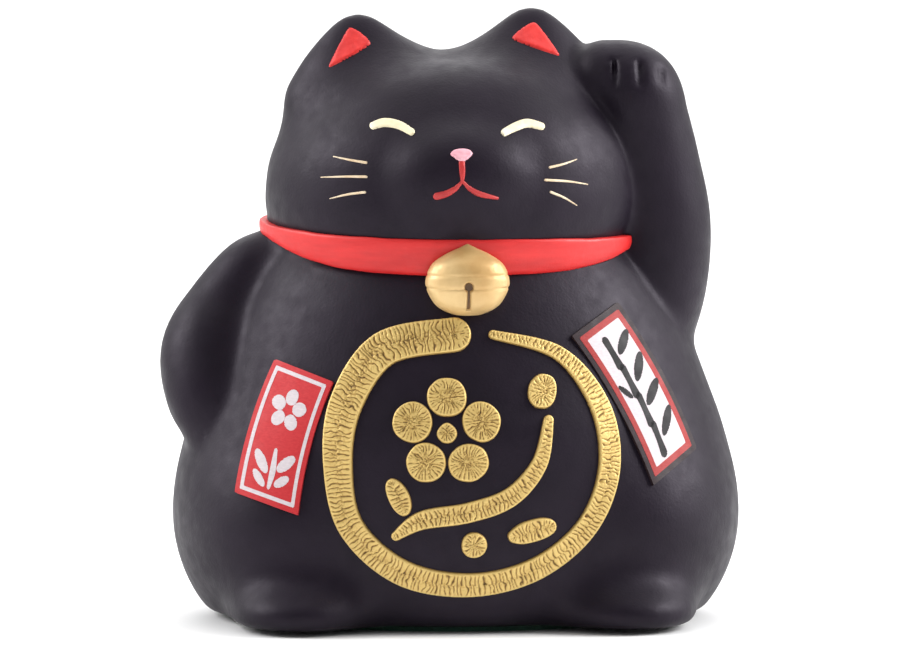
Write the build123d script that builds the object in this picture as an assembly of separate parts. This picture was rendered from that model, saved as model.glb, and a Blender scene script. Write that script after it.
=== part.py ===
"""Beckoning cat figurine: a hollow slip-cast ceramic coin bank with applied enamel, gold relief and cards.

Millimetres, +Z up. The cat faces -Y, so +X is on the right of someone facing it.
The origin is on the felt's underside, on which the figurine stands, below the middle of the body.
"""

from build123d import *
import math
import os

# ---- the casting's form --------------------------------------------------------------------------
FELT_T = 1.2                  # felt thickness, so the casting starts at this height
BODY_DEPTH_RATIO = 0.82       # body depth over body width
HEAD_DEPTH_RATIO = 0.92
EAR_DEPTH_RATIO = 0.6
HEAD_Y = -2.0                 # the head sits a little forward on the body
HEAD_ROLL = -2.0              # degrees about +Y through the neck: the head leans to -X
NECK_Z = 100.0                # height that the head leans about

# Half-profiles as (radius, height) of elliptical forms.
BODY_PROFILE = [(59, 1.2), (66, 5), (70.5, 12), (72.6, 21), (73, 31), (71.6, 41), (68.8, 53), (65, 65),
                (61, 76), (56, 86), (50, 95), (42, 103), (30, 109), (12, 112.6), (0, 113)]
HEAD_PROFILE = [(0, 86), (12, 86.4), (30, 89.5), (42, 95), (47.6, 102), (49.5, 109), (49.3, 116), (47.8, 123),
                (44.7, 130), (39.5, 137), (33, 143), (23, 147.6), (11, 149.6), (0, 150)]
EAR_PROFILE = [(0, 128), (9, 129.5), (16, 134), (18.4, 139.5), (15.6, 146), (11.8, 151.5), (7.4, 156.2),
               (3.6, 158.9), (0, 159.8)]
EAR_X, EAR_Y = 22.0, -4.0     # the ears mirror each other

# Limbs as stations (x, y, z, radius) from shoulder to paw, closed to a point at both ends.
RAISED_ARM = [(48.5, -1, 64, 0), (49, -1, 66, 9.5), (49.5, -1.5, 76, 14.6), (51, -2.5, 90, 15.8),
              (52, -4, 104, 15.3), (50.5, -6, 118, 14), (48.2, -8, 132, 13.3), (45.8, -9.6, 142, 12.6),
              (44.4, -10.6, 149, 8), (44, -11, 151.5, 0)]
LOWERED_ARM = [(-42, 0, 95, 0), (-44.5, 0, 94, 7), (-51, -0.5, 88.5, 12.3), (-57.3, -1.5, 79.5, 15.1),
               (-61.9, -5, 71, 15), (-64.2, -10, 59, 12.6), (-64.6, -13.5, 51, 9.3), (-65, -15, 46, 5.5),
               (-65, -15.5, 44, 0)]
TAIL = [(40, 33, 16, 0), (38.5, 35, 15.5, 5.5), (30, 44.5, 13.5, 8.6), (19, 51.5, 13, 8.6),
        (8, 54.5, 14.5, 7.6), (1.5, 55, 16.5, 5), (-0.5, 55, 17.3, 0)]

# Ellipsoids as centre and radii, mirrored for the other side except the muzzle.
HAUNCH = ((47, -8, 26), (28, 40, 27))
FOOT = ((44, -41, 7), (17.5, 18.5, 12))
MUZZLE = ((-0.6, -42.5, 119), (14, 7.5, 9))

# ---- inside of the casting -----------------------------------------------------------------------
CAVITY_FLOOR_Z = 8.2
BODY_CAVITY_SCALE = (0.93, 0.92, 0.87)
HEAD_CAVITY_SCALE = 0.88
HEAD_CENTRE_Z = 118.0
SLOT_W, SLOT_H, SLOT_Z = 34.0, 5.0, 124.0       # coin slot through the back of the head

# ---- base opening, its stopper and the felt ------------------------------------------------------
HOLE_R = 14.0                 # hole that the stopper closes
RECESS_R, RECESS_T = 19.0, 3.0
STOPPER_GAP = 0.08            # running clearance round the stopper and above its flange
FLANGE_R, FLANGE_T = 17.5, 2.3
STOPPER_L = 9.0               # above the flange
STOPPER_TIP_R = 13.0
STOPPER_WALL = 2.5
PULL_R = 4.0                  # finger nub under the flange, inside a ring groove
PULL_GROOVE_R, PULL_GROOVE_D = 9.0, 1.2
FELT_INSET = 3.0              # felt edge inside the base edge
FELT_HOLE_R = 20.0

# ---- collar and bell -----------------------------------------------------------------------------
COLLAR = ((0, 0, 104), (50.3, 46.6, 31.7))       # ellipsoid that its outside follows
COLLAR_LOW = [(-60, 89), (-44, 92.5), (-22, 98.2), (0, 100.6), (30, 101), (60, 101)]    # (y, z) of its edges
COLLAR_TOP = [(60, 105.3), (0, 104.6), (-60, 102)]
BELL_PROFILE = [(0, -9.2), (4, -8.9), (8.4, -6.6), (11, -2.4), (11.3, 1), (9.6, 4.8), (6, 7.4), (2.6, 9),
                (0, 10.2)]
BELL_CENTRE = (0, -46.5, 91.7)
BELL_DEPTH_RATIO = 0.68
BELL_SLOT_W, BELL_SLOT_H, BELL_HOLE_R = 1.0, 6.5, 1.3
BELL_SLOT_DEPTH, BELL_SLOT_FILL = 1.2, 0.5

# ---- thicknesses of what is applied to the casting -----------------------------------------------
ENAMEL_T = 0.4
GOLD_T = 1.1
CARD_T = 1.1
PRINT_T = 0.15

# ---- cards: half width, half height, face direction (degrees from -Y, then up), tilt, and centre -
CARD_LEFT = dict(half=(10.3, 18.2), face=(-38.7, 9.5), tilt=-12.9, centre=(-46.7, -40.5, 50.6))
CARD_RIGHT = dict(half=(9.5, 22.5), face=(40.2, 16.2), tilt=20, centre=(44, -37.1, 61.2))
FRAME_INSET, FRAME_W = 1.5, 0.8                  # white line on the left card
EDGE_W, BORDER_W = 1.6, 1.3                      # black edge and red border of the right card

# ---- brush ring on the belly: centre (x, z), radii of its centreline, angles and half widths along it 
RING_CENTRE = (1.2, 45.9)
RING_RADII = (35.8, 32.3)
RING_START, RING_SWEEP = 97.0, 344.0
RING_WANDER = [-0.4, 1.3, 0.4, -0.9, 0.2, -0.2, -1.1, -0.8, 0, 0.2, 0.8, 1.7, 0.2]    # of the hand, outwards
RING_HALF_WIDTHS = [4.4, 4.4, 4.2, 3.8, 3.5, 3.5, 3.2, 3.1, 3.0, 3.0, 2.7, 1.9, 1.2]

# ---- plum blossom sprig inside the ring ----------------------------------------------------------
BLOSSOM = (-5.5, 53)
PETAL_REACH, PETAL_RADII = 9.3, (5.3, 5.1)
BLOSSOM_HEART_R = 2.7
BRANCH = [(-18.7, 26.3), (-12, 30.5), (0, 32.5), (11, 36.5), (18.5, 45), (21, 56)]
BRANCH_HALF_WIDTHS = [1.3, 2.5, 2.7, 2.6, 2.2, 1.4]
LEAVES = [((16.5, 27.5), (6.8, 3.1), 14), ((-18, 36.5), (2.8, 5.2), 24)]         # centre, radii, turn
BUDS = [((19.5, 63.5), (3.9, 4.6), -10), ((1.5, 24), (3.4, 3.4), 0)]

# ---- face, from the front: (x, z) ----------------------------------------------------------------
EYES = dict(left=[(-23.5, 131.6), (-19.4, 132.5), (-13.9, 130.4)],
            right=[(10.3, 130.2), (15.6, 132.3), (20.3, 131.4)])
NOSE = ((-1.3, 124.8), (2.9, 1.7), -4)
MOUTH_STEM = [(-1.3, 122.1), (-1.2, 118.2)]
MOUTH_WINGS = [(-7.8, 114.2), (-4, 115.6), (-1.2, 118), (2.2, 115.3), (8, 113.6)]
WHISKERS = dict(left=[[(-25.6, 122.3), (-33.8, 123.5)], [(-25.6, 118.7), (-37, 118)],
                      [(-26, 114.7), (-34.8, 112.6)]],
                right=[[(21.9, 120.9), (29.9, 122.8)], [(20.9, 117.8), (32.5, 116.1)],
                       [(22.4, 114.6), (29.5, 110.8)]])
EAR_LININGS = dict(left=[(-28.2, 156.2), (-22.2, 151.7), (-34.5, 145)],
                   right=[(20.4, 157.4), (13.6, 152.8), (27.2, 148)])
LINING_CORNER_R = 1.4

FAR = 90.0                    # reach of the cutting prisms


# ---- forms of the casting ------------------------------------------------------------------------
def revolved(points, depth_ratio, grow=0.0):
    """Solid swept by a half-profile round the vertical axis and squashed in depth; grow thickens it."""
    top = points[-1][1]
    grown = [(r + grow if r else 0, z + (grow if z == top else 0)) for r, z in points]
    edge = Spline(*[Vector(r, 0, z) for r, z in grown])
    corners = [edge @ 1, Vector(0, 0, grown[-1][1]), Vector(0, 0, grown[0][1]), edge @ 0]
    sides = [Line(a, b) for a, b in zip(corners, corners[1:]) if (a - b).length > 1e-6]
    return scale(revolve(make_face([edge, *sides]), Axis.Z, 360), by=(1, depth_ratio, 1))


def lofted(points, depth_ratio, grow=0.0):
    """Solid through ellipses of a half-profile that starts and ends on the vertical axis."""
    low, high = points[0][1] - grow, points[-1][1] + grow
    rings = [Pos(0, 0, z) * Ellipse(r + grow, (r + grow) * depth_ratio) for r, z in points[1:-1]]
    return loft([Vertex(0, 0, low), *rings, Vertex(0, 0, high)])


def ellipsoid(shape, side=1, grow=0.0):
    (x, y, z), radii = shape
    return Pos(side * x, y, z) * scale(Sphere(1), by=tuple(r + grow for r in radii))


def limb(stations):
    """Solid lofted through circles square to the line of their centres."""
    centres = [Vector(*station[:3]) for station in stations]
    rings = []
    for i in range(1, len(stations) - 1):
        along = centres[i + 1] - centres[i - 1]
        rings.append(Plane(origin=centres[i], x_dir=(0, 1, 0), z_dir=along) * Circle(stations[i][3]))
    return loft([Vertex(*centres[0]), *rings, Vertex(*centres[-1])])


def lean(shape):
    """Leans a part of the head about the neck."""
    return Pos(0, 0, NECK_Z) * (Rot(0, HEAD_ROLL, 0) * (Pos(0, 0, -NECK_Z) * shape))


def body_form(grow=0.0):
    return revolved(BODY_PROFILE, BODY_DEPTH_RATIO, grow)


def head_form(grow=0.0):
    return lean(Pos(0, HEAD_Y, 0) * revolved(HEAD_PROFILE, HEAD_DEPTH_RATIO, grow))


def ear_form(side, grow=0.0):
    return lean(Pos(side * EAR_X, EAR_Y, 0) * lofted(EAR_PROFILE, EAR_DEPTH_RATIO, grow))


def muzzle_form(grow=0.0):
    return lean(ellipsoid(MUZZLE, 1, grow))


def face_form(grow=0.0):
    return head_form(grow).fuse(ear_form(-1, grow), ear_form(1, grow), muzzle_form(grow))


def haunches_and_feet(grow=0.0):
    return [ellipsoid(shape, side, grow) for shape in (HAUNCH, FOOT) for side in (-1, 1)]


def torso_form(grow=0.0):
    """Everything that the cards can lie on."""
    return body_form(grow).fuse(*haunches_and_feet(grow))


def casting_outside():
    """The whole outer form, cut flat at its underside."""
    form = body_form().fuse(head_form(), ear_form(-1), ear_form(1), muzzle_form(), *haunches_and_feet(),
                            limb(RAISED_ARM), limb(LOWERED_ARM), limb(TAIL))
    return form & (Pos(0, 0, FELT_T + 100) * Box(300, 300, 200))


def casting_inside():
    """The outer forms of body and head, shrunk."""
    body = scale(Pos(0, 0, -FELT_T) * body_form(), by=BODY_CAVITY_SCALE)
    head = scale(Pos(0, 0, -HEAD_CENTRE_Z) * head_form(), by=HEAD_CAVITY_SCALE)
    return (Pos(0, 0, CAVITY_FLOOR_Z) * body).fuse(Pos(0, 0, HEAD_CENTRE_Z) * head)


def ceramic_shell(outside):
    """Hollow casting with its base hole, flange recess and coin slot."""
    hole = Pos(0, 0, CAVITY_FLOOR_Z / 2) * Cylinder(HOLE_R, CAVITY_FLOOR_Z + 6)
    recess = Pos(0, 0, FELT_T + RECESS_T / 2) * Cylinder(RECESS_R, RECESS_T)
    slot = Pos(0, FAR / 2, SLOT_Z) * Box(SLOT_W, FAR, SLOT_H)
    slot = fillet(slot.edges().filter_by(Axis.Y), SLOT_H * 0.45)
    return outside - casting_inside() - hole - recess - slot


# ---- base pieces ---------------------------------------------------------------------------------
def base_stopper():
    """Rubber plug: a hollow tapered body on a flange, with a finger nub inside a ring groove underneath."""
    flange_top = FELT_T + RECESS_T - STOPPER_GAP
    flange_low = flange_top - FLANGE_T
    top = flange_top + STOPPER_L
    body_r = HOLE_R - STOPPER_GAP
    well_r = STOPPER_TIP_R - STOPPER_WALL
    well_floor = flange_top + STOPPER_WALL
    outline = Polyline((0, flange_low), (PULL_R, flange_low), (PULL_R, flange_low + PULL_GROOVE_D),
                       (PULL_GROOVE_R, flange_low + PULL_GROOVE_D), (PULL_GROOVE_R, flange_low),
                       (FLANGE_R, flange_low), (FLANGE_R, flange_top), (body_r, flange_top),
                       (body_r, CAVITY_FLOOR_Z), (STOPPER_TIP_R, top), (well_r, top), (well_r, well_floor),
                       (0, well_floor), close=True)
    return revolve(Plane.XZ * make_face(outline), Axis.Z, 360)


def base_felt():
    """Oval felt ring, inset from the base edge between the feet."""
    base_r = BODY_PROFILE[0][0]
    oval = Ellipse(base_r - FELT_INSET, base_r * BODY_DEPTH_RATIO - FELT_INSET)
    return extrude(oval - Circle(FELT_HOLE_R), FELT_T)


# ---- outlines, drawn as (x, z) from the front or in a card's own plane ---------------------------
def stroke(points, half_widths):
    """Outline of a brush stroke along points, round at both ends."""
    line = [Vector(*p) for p in points]
    last = len(line) - 1
    left, right = [], []
    for i, point in enumerate(line):
        run = (line[min(i + 1, last)] - line[max(i - 1, 0)]).normalized()
        across = Vector(-run.Y, run.X) * half_widths[i]
        left.append(point + across)
        right.append(point - across)
    start = line[0] - (line[1] - line[0]).normalized() * half_widths[0]
    end = line[-1] + (line[-1] - line[-2]).normalized() * half_widths[-1]
    return [line_through(left), ThreePointArc(left[-1], end, right[-1]), line_through(right[::-1]),
            ThreePointArc(right[0], start, left[0])]


def line_through(points):
    return Line(*points) if len(points) == 2 else Spline(*points)


def blob(centre, radii, turn=0.0):
    """Ellipse, turned in degrees."""
    return Pos(*centre) * (Rot(0, 0, turn) * Ellipse(*radii))


def petal(centre, angle, reach, radii):
    """Ellipse at a distance from a centre, its second radius pointing away from it."""
    a = math.radians(angle)
    return blob((centre[0] + reach * math.cos(a), centre[1] + reach * math.sin(a)), radii, angle - 90)


def frame(half_w, half_h, inset, width):
    """Rectangular ring face, inset from a rectangle's edges."""
    outer = Rectangle(2 * (half_w - inset), 2 * (half_h - inset))
    return outer - Rectangle(2 * (half_w - inset - width), 2 * (half_h - inset - width))


def card_plane(card):
    """Plane of a card: X across it, Y up it, Z away from the body."""
    turn, rise = (math.radians(a) for a in card["face"])
    out = Vector(math.sin(turn) * math.cos(rise), -math.cos(turn) * math.cos(rise), math.sin(rise))
    across = Vector(math.cos(turn), math.sin(turn), 0)
    return Plane(origin=card["centre"], x_dir=across, z_dir=out).rotated((0, 0, card["tilt"]))


def prism(outline, plane):
    """Cutting solid that reaches from a plane inwards, starting in front of it."""
    face = outline if isinstance(outline, (Sketch, Face)) else make_face(outline)
    return extrude(plane.offset(FAR / 3) * face, FAR, dir=-plane.z_dir)


def applied(outlines, grown, under, plane=Plane.XZ.offset(FAR / 2)):
    """A skin inside each outline, within the grown form and outside the one under it, on the near side."""
    solids = []
    for outline in outlines:
        skins = ((prism(outline, plane) & grown) - under).solids()
        solids.append(skins.sort_by(Axis(plane.origin, plane.z_dir))[-1])
    return Compound(children=solids) if len(solids) > 1 else solids[0]


# ---- applied pieces ------------------------------------------------------------------------------
def collar_band(outside):
    """Band in the groove between body and head, deepest under the chin; the raised arm interrupts it."""
    low = Spline(*[Vector(0, y, z) for y, z in COLLAR_LOW])
    top = Polyline(*[Vector(0, y, z) for y, z in COLLAR_TOP])
    side_view = make_face([low, Line(low @ 1, top @ 0), *top.edges(), Line(top @ 1, low @ 0)])
    zone = extrude(side_view, FAR, dir=(1, 0, 0), both=True)
    return ((ellipsoid(COLLAR) & zone) - outside).solids().sort_by(SortBy.VOLUME)[-1]


def bell_form(grow=0.0):
    return Pos(*BELL_CENTRE) * lofted(BELL_PROFILE, BELL_DEPTH_RATIO, grow)


def bell_and_slot(outside, collar):
    """Bell with a sunk sound slot, and the dark enamel at the bottom of the slot."""
    x, y, z = BELL_CENTRE
    slot = Pos(x, y - FAR / 2, z - BELL_SLOT_H / 2 - 1) * Box(BELL_SLOT_W, FAR, BELL_SLOT_H)
    hole = Pos(x, y - FAR / 2, z - 1) * (Rot(90, 0, 0) * Cylinder(BELL_HOLE_R, FAR))
    cutter = slot.fuse(hole)
    bell = bell_form() - outside - collar
    sunk = bell_form(-BELL_SLOT_DEPTH)
    filled = bell_form(BELL_SLOT_FILL - BELL_SLOT_DEPTH)
    return bell - (cutter - sunk), (cutter & filled) - sunk


def ring_stroke(grown, under):
    """Brush ring that starts wide at the top and thins out as it comes round."""
    count = len(RING_HALF_WIDTHS)
    angles = [math.radians(RING_START + RING_SWEEP * i / (count - 1)) for i in range(count)]
    points = [(RING_CENTRE[0] + (RING_RADII[0] + out) * math.cos(a),
               RING_CENTRE[1] + (RING_RADII[1] + out) * math.sin(a)) for a, out in zip(angles, RING_WANDER)]
    return applied([stroke(points, RING_HALF_WIDTHS)], grown, under)


def write(name, shape):
    shape.label = name
    export_step(shape, f"parts/{name}.step")


def write_face(under):
    """Enamel on the head."""
    grown = face_form(ENAMEL_T)
    for side, corners in EAR_LININGS.items():
        lining = fillet(Polygon(*corners, align=None).vertices(), LINING_CORNER_R)
        write(f"ear_lining_{side}", applied([lining], grown, under))
    for side, points in EYES.items():
        write(f"eye_{side}", applied([stroke(points, [0.8, 1.05, 0.8])], grown, under))
    write("nose", applied([blob(*NOSE)], grown, under))
    stem = make_face(stroke(MOUTH_STEM, [0.75, 0.8]))
    wings = make_face(stroke(MOUTH_WINGS, [0.6, 0.9, 0.9, 0.9, 0.6]))
    write("mouth", applied([stem + wings], grown, under))
    for side, strokes in WHISKERS.items():
        for i, points in enumerate(strokes):
            write(f"whisker_{side}_{i + 1}", applied([stroke(points, [0.45, 0.3])], grown, under))


def write_sprig(grown, under):
    """Gold relief sprig in separate strokes."""
    for i in range(5):
        write(f"sprig_petal_{i + 1}",
              applied([petal(BLOSSOM, 90 + 72 * i, PETAL_REACH, PETAL_RADII)], grown, under))
    write("sprig_heart", applied([blob(BLOSSOM, (BLOSSOM_HEART_R, BLOSSOM_HEART_R))], grown, under))
    write("sprig_branch", applied([stroke(BRANCH, BRANCH_HALF_WIDTHS)], grown, under))
    for i, leaf in enumerate(LEAVES):
        write(f"sprig_leaf_{i + 1}", applied([blob(*leaf)], grown, under))
    for i, bud in enumerate(BUDS):
        write(f"sprig_bud_{i + 1}", applied([blob(*bud)], grown, under))


def write_left_card(board_form, print_form, under):
    """Red card with a white line, a white blossom above and leaves below."""
    half_w, half_h = CARD_LEFT["half"]
    plane = card_plane(CARD_LEFT)
    blossom = [petal((0, 7), 90 + 72 * i, 3.5, (1.9, 2.2)) for i in range(5)]
    leaves = [stroke([(0, -14), (0.4, -9.5), (0, -4)], [0.5, 0.9, 0.5]), blob((-3.6, -8), (1.5, 3.4), 42),
              blob((3.9, -6.6), (1.5, 3.4), -42), blob((-3.4, -12.4), (1.2, 2.6), 50),
              blob((3.6, -11.4), (1.2, 2.6), -50)]
    write("card_left_board", applied([Rectangle(2 * half_w, 2 * half_h)], board_form, under, plane))
    write("card_left_frame",
          applied([frame(half_w, half_h, FRAME_INSET, FRAME_W)], print_form, board_form, plane))
    write("card_left_blossom", applied(blossom, print_form, board_form, plane))
    write("card_left_leaves", applied(leaves, print_form, board_form, plane))


def write_right_card(board_form, print_form, ink_form, under):
    """Black-edged card with a red border, a white panel and bamboo in black ink."""
    half_w, half_h = CARD_RIGHT["half"]
    inset = EDGE_W + BORDER_W
    plane = card_plane(CARD_RIGHT)
    stem = [stroke([(-2.2, -17.5 + 8.7 * i), (-1.7, -9.8 + 8.7 * i)], [1.25, 1.1]) for i in range(4)]
    leaves = [blob((3.5, -11), (1.5, 4.4), -50), blob((3.4, -2.4), (1.5, 4.4), -62),
              blob((3.5, 5.4), (1.5, 4.4), -48), blob((3.4, 13.2), (1.4, 4.2), -60),
              blob((-5.2, 2), (0.9, 2.8), 28)]
    write("card_right_board", applied([Rectangle(2 * half_w, 2 * half_h)], board_form, under, plane))
    write("card_right_border",
          applied([frame(half_w, half_h, EDGE_W, BORDER_W)], print_form, board_form, plane))
    write("card_right_panel", applied([Rectangle(2 * (half_w - inset), 2 * (half_h - inset))], print_form,
                                      board_form, plane))
    write("card_right_stem", applied(stem, ink_form, print_form, plane))
    write("card_right_leaves", applied(leaves, ink_form, print_form, plane))


os.makedirs("parts", exist_ok=True)
outside = casting_outside()
write("ceramic_shell", ceramic_shell(outside))
write("base_stopper", base_stopper())
write("base_felt", base_felt())
collar = collar_band(outside)
bell, bell_slot = bell_and_slot(outside, collar)
write("collar_band", collar)
write("bell", bell)
write("bell_slot", bell_slot)
write_face(outside)
gold_form = body_form(GOLD_T)
write("ring_stroke", ring_stroke(gold_form, outside))
write_sprig(gold_form, outside)
board_form = torso_form(CARD_T)
print_form = torso_form(CARD_T + PRINT_T)
write_left_card(board_form, print_form, outside)
write_right_card(board_form, print_form, torso_form(CARD_T + 2 * PRINT_T), outside)
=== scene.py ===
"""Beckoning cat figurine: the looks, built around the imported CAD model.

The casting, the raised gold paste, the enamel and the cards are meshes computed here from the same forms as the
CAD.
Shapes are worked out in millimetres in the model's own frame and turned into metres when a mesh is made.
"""

import bpy
import math
import numpy as np
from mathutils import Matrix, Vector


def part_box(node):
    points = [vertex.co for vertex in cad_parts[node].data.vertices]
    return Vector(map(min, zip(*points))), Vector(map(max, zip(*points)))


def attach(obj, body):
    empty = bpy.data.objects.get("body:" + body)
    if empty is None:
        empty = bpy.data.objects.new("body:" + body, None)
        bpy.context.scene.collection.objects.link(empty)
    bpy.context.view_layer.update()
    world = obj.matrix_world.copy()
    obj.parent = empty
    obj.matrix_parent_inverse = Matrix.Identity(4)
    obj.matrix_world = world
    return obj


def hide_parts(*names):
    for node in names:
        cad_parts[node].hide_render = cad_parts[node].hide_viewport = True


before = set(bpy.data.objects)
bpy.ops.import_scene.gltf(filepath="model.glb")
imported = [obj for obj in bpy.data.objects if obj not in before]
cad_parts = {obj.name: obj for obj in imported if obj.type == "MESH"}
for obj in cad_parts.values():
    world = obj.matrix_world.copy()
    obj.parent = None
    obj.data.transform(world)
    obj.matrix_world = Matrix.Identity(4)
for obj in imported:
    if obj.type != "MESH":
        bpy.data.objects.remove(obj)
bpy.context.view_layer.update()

MM = 0.001
FIGURINE = "figurine"

# ---- camera, in radians and metres --------------------------------------------------------------------------
CAMERA_AZIMUTH, CAMERA_ELEVATION, CAMERA_AWAY = math.radians(-3.5), math.radians(5.0), 3.0
PICTURE_WIDTH = 0.2377
AIM = (-0.0013, 0.0, 0.075)

# ---- the casting's forms, in millimetres --------------------------------------------------------------------
BODY_DEPTH_RATIO = 0.82
HEAD_DEPTH_RATIO = 0.92
EAR_DEPTH_RATIO = 0.6
HEAD_Y = -2.0
HEAD_ROLL = math.radians(-2.0)
NECK_Z = 100.0
BODY_PROFILE = [(60, 1.2), (64.6, 5), (67.8, 12), (70, 21), (71, 31), (71, 41), (69.5, 53), (65.4, 65),
                (61, 76), (56, 86), (50, 95), (42, 103), (30, 109), (12, 112.6), (0, 113)]
HEAD_PROFILE = [(0, 86), (12, 86.4), (30, 89.5), (42, 95), (47.6, 102), (49.6, 109), (49.4, 116), (47.9, 123),
                (44.4, 130), (38.4, 137), (31.8, 142.6), (23, 146.4), (11, 148.2), (0, 148.6)]
EAR_PROFILE = [(0, 128), (9, 129.5), (16, 134), (18.4, 139.5), (15.6, 146), (11.8, 151.5), (7.4, 156.2),
               (3.6, 158.9), (0, 159.8)]
EAR_Y = -4.0
EAR_X = {-1: -23.9, 1: 21.6}      # left and right
RAISED_ARM = [(48.5, -1, 66, 4), (49, -1, 70, 10), (49.5, -1.5, 78, 14.2), (51, -2.5, 90, 15.8),
              (52, -4, 104, 15.3), (50.5, -6, 118, 14), (48.2, -8, 130, 13.2), (46, -9.6, 138.8, 12.4),
              (39.3, -9, 141.9, 10.3)]
LOWERED_ARM = [(-47, -1, 93.3, 9), (-53.6, -1, 90.3, 9.6), (-60.1, -2, 79.5, 12), (-64.4, -6, 70, 13.5),
               (-64.7, -11, 60, 12.2), (-64.3, -13.5, 53.6, 9)]
TAIL = [(38, 35, 15.5, 6.5), (30, 44.5, 13.5, 8.6), (19, 51.5, 13, 8.6), (9, 54, 14.5, 8)]
HAUNCH = ((45.2, -8, 26), (26.8, 40, 27))
FOOT = ((43, -40, 5), (17, 19, 8.2))
MUZZLE = ((-0.6, -42.5, 119), (14, 7.5, 9))

# How widely each pair of forms is blended, in millimetres.
BLEND_HAUNCH, BLEND_FOOT, BLEND_EAR, BLEND_MUZZLE = 14.0, 11.0, 12.0, 9.0
BLEND_NECK, BLEND_RAISED, BLEND_LOWERED, BLEND_TAIL = 3.0, 2.6, 4.5, 4.0
BLEND_CAVITY = 6.0

# How widely edges are rounded.
BASE_ROUND, SLOT_ROUND, GROOVE_EDGE, CRISP = 2.2, 1.2, 1.2, 0.01
WALL = 5.2
CAVITY_FLOOR_Z = 8.2
HOLE_R, RECESS_R, RECESS_T, HOLE_PAST_FLOOR = 14.4, 19.0, 3.0, 4.0
SLOT_HALF_W, SLOT_HALF_H, SLOT_Z = 17.0, 2.5, 124.0

# Grooves between the toes: two ends and a radius.
GROOVES = [((40.8, -17.6, 146.6), (40.8, -20.9, 141.3), 0.75),
           ((47.3, -18.7, 146.4), (47.3, -21.6, 141.3), 0.75),
           ((53.1, -17.2, 145), (53.1, -19.4, 141.8), 0.6),
           ((-66, -21.4, 49.5), (-65.6, -18.6, 45), 0.8), ((-62, -21, 49.5), (-62, -18.2, 45), 0.8),
           ((39, -60, 10), (39, -60, 2.5), 1.0), ((48, -60, 10), (49, -60, 2.5), 1.0),
           ((-39, -60, 10), (-39, -60, 2.5), 1.0), ((-48, -60, 10), (-49, -60, 2.5), 1.0)]

GRID_LOW = np.array([-83.0, -66.0, -3.0])
GRID_HIGH = np.array([80.0, 69.0, 164.0])
GRID_STEP = 1.05


# ---- curves and distances -----------------------------------------------------------------------------------
def smooth_line(points, per=8, closed=False):
    """Catmull-Rom line through points."""
    p = np.array(points, float)
    n = len(p)
    spans = n if closed else n - 1
    t = np.linspace(0, 1, per, endpoint=False)[:, None]
    out = []
    for i in range(spans):
        if closed:
            a, b, c, d = (p[(i + k) % n] for k in (-1, 0, 1, 2))
        else:
            a, b, c, d = p[max(i - 1, 0)], p[i], p[i + 1], p[min(i + 2, n - 1)]
        out.append(0.5 * (2 * b + (c - a) * t + (2 * a - 5 * b + 4 * c - d) * t ** 2
                          + (3 * b - a - 3 * c + d) * t ** 3))
    if not closed:
        out.append(p[-1:])
    return np.concatenate(out)


class Profile:
    """Signed distance to a half-profile, looked up in a table of (radius, height)."""

    STEP, ROOM = 0.5, 30.0

    def __init__(self, points):
        line = smooth_line(points)
        line[:, 0] = np.maximum(line[:, 0], 0)
        ends = [line]
        if points[0][0] > 0:
            ends.insert(0, np.array([[0.0, points[0][1]]]))
        path = np.concatenate(ends)
        self.low = np.array([0.0, path[:, 1].min() - self.ROOM])
        high = (path[:, 0].max() + self.ROOM, path[:, 1].max() + self.ROOM)
        r = np.arange(self.low[0], high[0], self.STEP)
        z = np.arange(self.low[1], high[1], self.STEP)
        r, z = np.meshgrid(r, z, indexing="ij")
        d2 = np.full(r.shape, 1e9)
        for a, b in zip(path, path[1:]):
            run = b - a
            size = float(run @ run)
            if size < 1e-12:
                continue
            t = np.clip(((r - a[0]) * run[0] + (z - a[1]) * run[1]) / size, 0, 1)
            d2 = np.minimum(d2, (r - a[0] - t * run[0]) ** 2 + (z - a[1] - t * run[1]) ** 2)
        inside = (r < np.interp(z, line[:, 1], line[:, 0])) & (z > line[0, 1]) & (z < line[-1, 1])
        self.table = np.where(inside, -1, 1) * np.sqrt(d2)

    def __call__(self, r, z):
        u = np.clip((r - self.low[0]) / self.STEP, 0, self.table.shape[0] - 1.001)
        v = np.clip((z - self.low[1]) / self.STEP, 0, self.table.shape[1] - 1.001)
        i, j = u.astype(int), v.astype(int)
        u, v = u - i, v - j
        t = self.table
        return (t[i, j] * (1 - u) * (1 - v) + t[i + 1, j] * u * (1 - v)
                + t[i, j + 1] * (1 - u) * v + t[i + 1, j + 1] * u * v)


def true_distance(f, step):
    """Divides by the gradient's length, so that squashed forms blend as evenly as round ones."""
    gx, gy, gz = np.gradient(f, step)
    return f / np.maximum(np.sqrt(gx ** 2 + gy ** 2 + gz ** 2), 0.35)


def union(a, b, blend):
    h = np.maximum(blend - np.abs(a - b), 0) / blend
    return np.minimum(a, b) - h * h * blend / 4


def cut(a, b, blend):
    """a without b."""
    return -union(-a, b, blend)


def ellipsoid(x, y, z, form, side=1):
    (cx, cy, cz), (rx, ry, rz) = form
    px, py, pz = (x - side * cx) / rx, (y - cy) / ry, (z - cz) / rz
    k0 = np.sqrt(px ** 2 + py ** 2 + pz ** 2)
    k1 = np.sqrt((px / rx) ** 2 + (py / ry) ** 2 + (pz / rz) ** 2)
    return k0 * (k0 - 1) / np.maximum(k1, 1e-6)


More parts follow.
